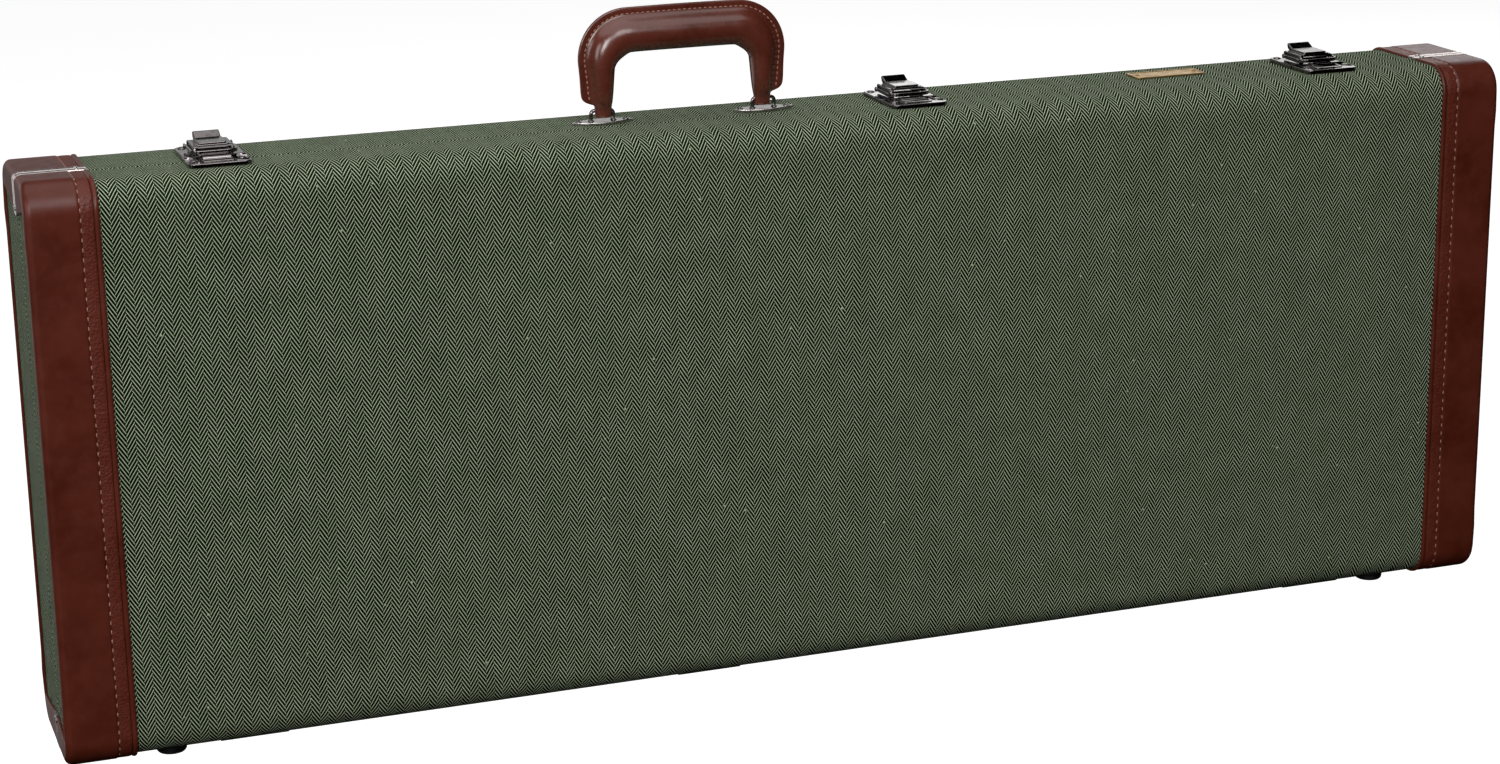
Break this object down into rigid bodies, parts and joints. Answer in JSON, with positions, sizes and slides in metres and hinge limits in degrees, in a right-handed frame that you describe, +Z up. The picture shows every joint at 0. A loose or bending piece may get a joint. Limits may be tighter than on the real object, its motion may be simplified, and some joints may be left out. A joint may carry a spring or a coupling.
{
  "type": "guitar case",
  "caption": "Rectangular hard guitar case in herringbone tweed with leather ends, hinged lid, drop latches and a padded carry handle.",
  "frame": {"origin": "under the middle of the closed case, level with the bottoms of its feet", "axes": "+X along the case from the wide end to the neck end, -Y out of the lid's face, +Z up through the handle"},
  "size_m": [1.0342, 0.108, 0.4582],
  "materials": {
    "tweed": "herringbone wool tweed, matte",
    "leather": "smooth reddish-brown, semi-gloss",
    "grip_leather": "smooth reddish-brown, glossy",
    "plywood": "bare birch plywood, matte",
    "plush": "short-pile plush over foam and board",
    "trim_metal": "bright rolled strip",
    "nickel": "bright nickel plate",
    "black_nickel": "polished black nickel plate",
    "brass": "satin brass sheet, blank"
  },
  "bodies": {
    "base": {"base_covering": "tweed", "base_shell": "plywood", "base_lining": "plush", "rim_tongue": "plywood", "base_leather_left": "leather", "base_strip_top_left": "trim_metal", "base_strip_bottom_left": "trim_metal", "base_foot_left": "black_nickel", "base_leather_right": "leather", "base_strip_top_right": "trim_metal", "base_strip_bottom_right": "trim_metal", "base_foot_right": "black_nickel", "hinge_1_base_leaf": "black_nickel", "hinge_1_pin": "nickel", "latch_1_plate": "black_nickel", "latch_1_pivot": "black_nickel", "hinge_2_base_leaf": "black_nickel", "hinge_2_pin": "nickel", "latch_2_plate": "black_nickel", "latch_2_pivot": "black_nickel", "hinge_3_base_leaf": "black_nickel", "hinge_3_pin": "nickel", "latch_3_plate": "black_nickel", "latch_3_pivot": "black_nickel", "handle_plate_left": "nickel", "handle_plate_right": "nickel", "badge": "brass", "tail_block_lower": "plush", "tail_block_upper": "plush", "waist_block_lower": "plush", "waist_block_upper": "plush", "shoulder_block_lower": "plush", "shoulder_block_upper": "plush", "neck_cradle": "plush", "accessory_box": "plush"},
    "lid": {"lid_covering": "tweed", "lid_shell": "plywood", "lid_lining": "plush", "lid_leather_left": "leather", "lid_strip_top_left": "trim_metal", "lid_strip_bottom_left": "trim_metal", "lid_foot_left": "black_nickel", "lid_leather_right": "leather", "lid_strip_top_right": "trim_metal", "lid_strip_bottom_right": "trim_metal", "lid_foot_right": "black_nickel", "hinge_1_lid_leaf": "black_nickel", "latch_1_catch": "black_nickel", "hinge_2_lid_leaf": "black_nickel", "latch_2_catch": "black_nickel", "hinge_3_lid_leaf": "black_nickel", "latch_3_catch": "black_nickel"},
    "accessory_lid": {"accessory_lid": "plush"},
    "handle": {"handle_grip": "grip_leather"},
    "latch_1_lever": {"latch_1_lever": "black_nickel"},
    "latch_1_bail": {"latch_1_bail": "black_nickel"},
    "latch_2_lever": {"latch_2_lever": "black_nickel"},
    "latch_2_bail": {"latch_2_bail": "black_nickel"},
    "latch_3_lever": {"latch_3_lever": "black_nickel"},
    "latch_3_bail": {"latch_3_bail": "black_nickel"}
  },
  "joints": [
    {"name": "lid_hinge", "type": "hinge", "parent": "base", "child": "lid", "pos_m": [0, -0.009, 0.005], "axis": [1, 0, 0], "range_deg": [0, 105]},
    {"name": "accessory_lid_hinge", "type": "hinge", "parent": "base", "child": "accessory_lid", "pos_m": [0.155, 0.0062, 0.0255], "axis": [1, 0, 0], "range_deg": [0, 90]},
    {"name": "handle_swing", "type": "hinge", "parent": "base", "child": "handle", "pos_m": [-0.0765, 0.003, 0.395], "axis": [1, 0, 0], "range_deg": [-80, 80]},
    {"name": "latch_1_lever_hinge", "type": "hinge", "parent": "base", "child": "latch_1_lever", "pos_m": [-0.392, -0.0065, 0.3922], "axis": [1, 0, 0], "range_deg": [0, 100]},
    {"name": "latch_1_bail_hinge", "type": "hinge", "parent": "latch_1_lever", "child": "latch_1_bail", "pos_m": [-0.392, 0.0115, 0.3922], "axis": [-1, 0, 0], "range_deg": [0, 100]},
    {"name": "latch_2_lever_hinge", "type": "hinge", "parent": "base", "child": "latch_2_lever", "pos_m": [0.08, -0.0065, 0.3922], "axis": [1, 0, 0], "range_deg": [0, 100]},
    {"name": "latch_2_bail_hinge", "type": "hinge", "parent": "latch_2_lever", "child": "latch_2_bail", "pos_m": [0.08, 0.0115, 0.3922], "axis": [-1, 0, 0], "range_deg": [0, 100]},
    {"name": "latch_3_lever_hinge", "type": "hinge", "parent": "base", "child": "latch_3_lever", "pos_m": [0.394, -0.0065, 0.3922], "axis": [1, 0, 0], "range_deg": [0, 100]},
    {"name": "latch_3_bail_hinge", "type": "hinge", "parent": "latch_3_lever", "child": "latch_3_bail", "pos_m": [0.394, 0.0115, 0.3922], "axis": [-1, 0, 0], "range_deg": [0, 100]}
  ],
  "couplings": [
    {"joint": "accessory_lid_hinge", "follows": "lid_hinge", "ratio": 0.85714},
    {"joint": "latch_1_bail_hinge", "follows": "latch_1_lever_hinge", "ratio": 1},
    {"joint": "latch_2_bail_hinge", "follows": "latch_2_lever_hinge", "ratio": 1},
    {"joint": "latch_3_bail_hinge", "follows": "latch_3_lever_hinge", "ratio": 1}
  ]
}
